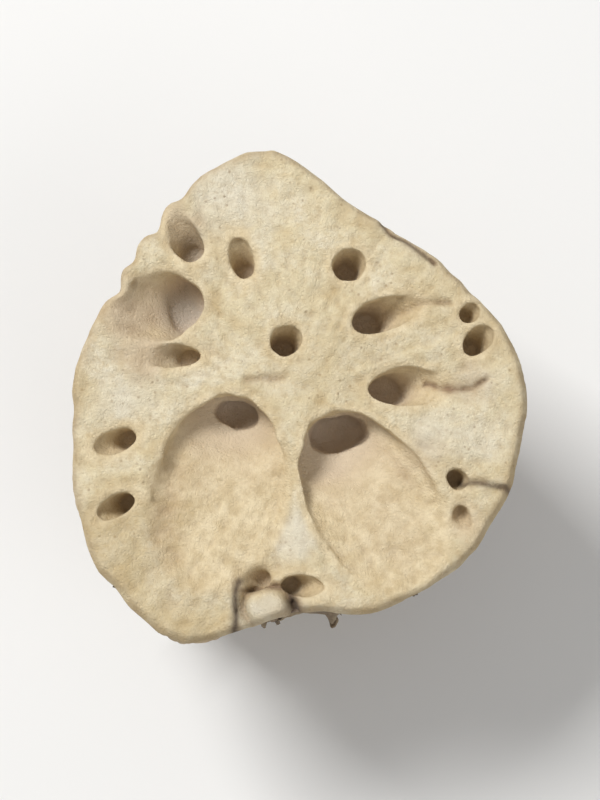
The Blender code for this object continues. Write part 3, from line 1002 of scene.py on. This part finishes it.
def driedTissue():
    look = tissueLook
    size = patternSize
    material, tree, shader, place, lengthwise = newMaterial("driedTissue")
    lined = maths(tree, "MAXIMUM", mask(tree, "wall"), mask(tree, "lowerWall"))
    skin = wrinkledSkin(tree, place, lengthwise)
    colour = mixColours(tree, mask(tree, "skin"), cutFlesh(tree, place), skin)
    colour = mixColours(tree, mask(tree, "ring"), colour, nodeRing(tree, place))
    colour = mixColours(tree, lined, colour, channelLining(tree, place))
    # the ochre patches: a real tone, and painted shade on the left scoop's left wall
    colour = tinted(tree, colour, mask(tree, "ochre"), 0.50, look["ochre"])
    patchy = ramp(tree, noiseAt(tree, place, size["edgePatches"], 4, 0.65), ((0.35, 0.1), (0.62, 1.0)))
    edges = maths(tree, "MULTIPLY", mask(tree, "mouthEdge"), patchy)
    colour = tinted(tree, colour, edges, 0.45, look["ochre"])
    colour = tinted(tree, colour, mask(tree, "blush"), 0.60, look["blush"])
    colour = tinted(tree, colour, mask(tree, "ash"), 0.75, look["ash"])
    # painted shade: darker in the dips of the surface
    colour = tinted(tree, colour, mask(tree, "dip"), 0.55, look["hollowShade"])
    colour = tinted(tree, colour, mask(tree, "crest"), 0.18, look["paleCream"])
    # a real stain on most creases, and painted shade along the scoop lines
    colour = tinted(tree, colour, mask(tree, "stainAndShade"), 0.75, look["stainAndShadeBrown"])
    # painted shade: the cracks, grooves and gaps darker
    colour = tinted(tree, colour, mask(tree, "crackShade"), 0.92, look["crackShade"])
    tree.links.new(colour, shader.inputs["Base Color"])
    dull = ramp(tree, noiseAt(tree, place, size["dullness"], 3), ((0.3, 0.74), (0.7, 0.92)))
    roughness = mixColours(tree, maths(tree, "MULTIPLY", lined, 0.5), dull, (0.58, 0.58, 0.58))
    tree.links.new(roughness, shader.inputs["Roughness"])
    grit = noiseAt(tree, place, size["grit"], 5, 0.7)
    strands = noiseAt(tree, lengthwise, size["strands"], 4, 0.65)
    pores = ramp(tree, cellsAt(tree, place, size["pores"]), ((0.10, 0.0), (0.32, 1.0)))
    relief = mixColours(tree, 0.35, mixColours(tree, mask(tree, "skin"), grit, strands), pores, "MULTIPLY")
    addBump(tree, shader, relief, 0.85, 0.25)
    return material


def rootletBark():  # dark and shrivelled
    look = tissueLook
    material, tree, shader, place, _ = newMaterial("rootletBark")
    mottle = noiseAt(tree, place, patternSize["barkMottle"], 4, 0.7)
    stops = ((0.35, look["ringDark"]), (0.50, look["ringBrown"]), (0.72, look["ringPale"]))
    tree.links.new(ramp(tree, mottle, stops), shader.inputs["Base Color"])
    shader.inputs["Roughness"].default_value = 0.82
    addBump(tree, shader, noiseAt(tree, place, patternSize["barkGrit"], 4, 0.7), 0.6, 0.08)
    return material


def paperyScale():  # brown and papery, with lengthwise veins
    look = tissueLook
    material, tree, shader, place, lengthwise = newMaterial("paperyScale")
    veins = noiseAt(tree, lengthwise, patternSize["veins"], 4, 0.6)
    tone = ramp(tree, veins, ((0.35, look["scaleBrown"]), (0.68, look["scalePale"])))
    blotch = ramp(tree, noiseAt(tree, place, patternSize["blotches"], 3), ((0.45, 0.0), (0.62, 1.0)))
    tree.links.new(tinted(tree, tone, blotch, 0.6, look["scaleBrown"]), shader.inputs["Base Color"])
    shader.inputs["Roughness"].default_value = 0.66
    addBump(tree, shader, veins, 0.5, 0.10)
    return material


studio = {
    "floorTone": (0.80, 0.795, 0.78),
    "floorHalf": 1.5,
    "keyPlace": (-0.22, 0.20, 0.42),
    "keySize": 0.17,
    "keyPower": 2.25,
    "fillPlace": (0.30, -0.25, 0.35),
    "fillSize": 0.40,
    "fillPower": 0.5,
    "skyStrength": 0.38,
    "elevation": 82,
    "distance": 0.17,
    "aim": (0, 0, 0.02),
    "lens": 120,
}


def paleFloor():
    mesh = bpy.data.meshes.new("floor")
    half = studio["floorHalf"]
    corners = [(-half, -half, 0), (half, -half, 0), (half, half, 0), (-half, half, 0)]
    mesh.from_pydata(corners, [], [(0, 1, 2, 3)])
    floor = linkObject("floor", mesh)
    material = bpy.data.materials.new("paleFloor")
    material.use_nodes = True
    shader = material.node_tree.nodes["Principled BSDF"]
    shader.inputs["Base Color"].default_value = (*studio["floorTone"], 1)
    shader.inputs["Roughness"].default_value = 0.9
    mesh.materials.append(material)


def softBox(name):
    light = bpy.data.lights.new(name + "Light", "AREA")
    light.shape = "SQUARE"
    light.size = studio[name + "Size"]
    light.energy = studio[name + "Power"]
    lamp = linkObject(name + "Light", light)
    lamp.location = studio[name + "Place"]
    lamp.rotation_euler = (Vector(studio["aim"]) - lamp.location).to_track_quat("-Z", "Y").to_euler()


def lightStudio():
    softBox("key")
    softBox("fill")
    world = bpy.data.worlds.new("studio")
    bpy.context.scene.world = world
    world.use_nodes = True
    world.node_tree.nodes["Background"].inputs["Color"].default_value = (1, 1, 1, 1)
    world.node_tree.nodes["Background"].inputs["Strength"].default_value = studio["skyStrength"]
    bpy.context.scene.view_settings.view_transform = "Standard"


def placeCamera():
    camera = linkObject("camera", bpy.data.cameras.new("camera"))
    camera.data.lens = studio["lens"]
    aim = Vector(studio["aim"])
    tilt = math.radians(studio["elevation"])
    camera.location = aim + studio["distance"] * Vector((0, -math.cos(tilt), math.sin(tilt)))
    camera.rotation_euler = (aim - camera.location).to_track_quat("-Z", "Y").to_euler()
    camera.data.dof.use_dof = False
    bpy.context.scene.camera = camera


cutPlane = fitUpperCut()
print("upper cut at", [round(v, 3) for v in cutPlane])
rhizome = weldedCopy()
carveAndRemesh(rhizome)
print("carved:", len(rhizome.data.vertices), "points")
markRegions(rhizome)
smoothSurface(rhizome)
wrinkleSkin(rhizome)
workUpperCut(rhizome)
markHollows(rhizome)
print("sculpted")
thinOut(rhizome)
rhizome.data.materials.append(driedTissue())
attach(rhizome, "root")
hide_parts("lotus_root_node")
print("rhizome finished")

rootlets = brokenRootlets(rhizome)
rootlets.data.materials.append(rootletBark())
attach(rootlets, "root")
print("rootlets:", countTriangles(rootlets.data), "triangles")

scales = scaleLeaves(rhizome)
scales.data.materials.append(paperyScale())
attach(scales, "root")
print("scale leaves:", countTriangles(scales.data), "triangles")

paleFloor()
lightStudio()
placeCamera()
print("studio set")
